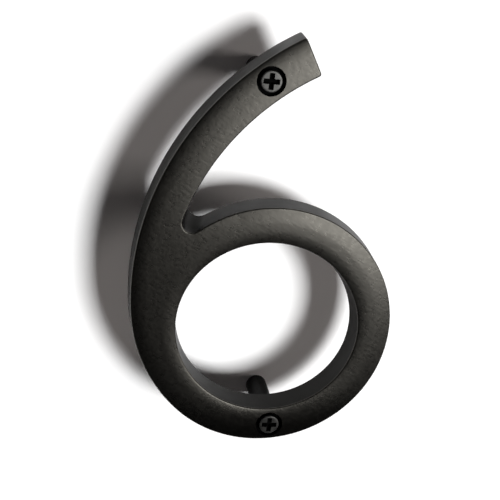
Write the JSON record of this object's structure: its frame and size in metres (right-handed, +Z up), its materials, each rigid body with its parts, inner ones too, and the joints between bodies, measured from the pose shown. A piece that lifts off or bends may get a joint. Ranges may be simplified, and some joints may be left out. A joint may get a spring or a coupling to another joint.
{
  "type": "floating house number",
  "caption": "Cast house numeral with a crowned, brushed face, held off a wall by screws through spacer tubes so that it stands clear and throws a shadow.",
  "frame": {"origin": "on the plane of the wall, half way between the two screws", "axes": "+Z up, +X to the right seen from the front, +Y into the wall, so that the face looks along -Y"},
  "size_m": [0.0824, 0.0501, 0.1287],
  "materials": {
    "black_casting": "satin black over fine slanting brushing",
    "dark_plated_steel": "dark plated steel",
    "black_spacer": "moulded black"
  },
  "bodies": {
    "root": {"numeral": "black_casting", "mounting_screws": "dark_plated_steel", "upper_spacer": "black_spacer", "lower_spacer": "black_spacer"}
  },
  "joints": []
}
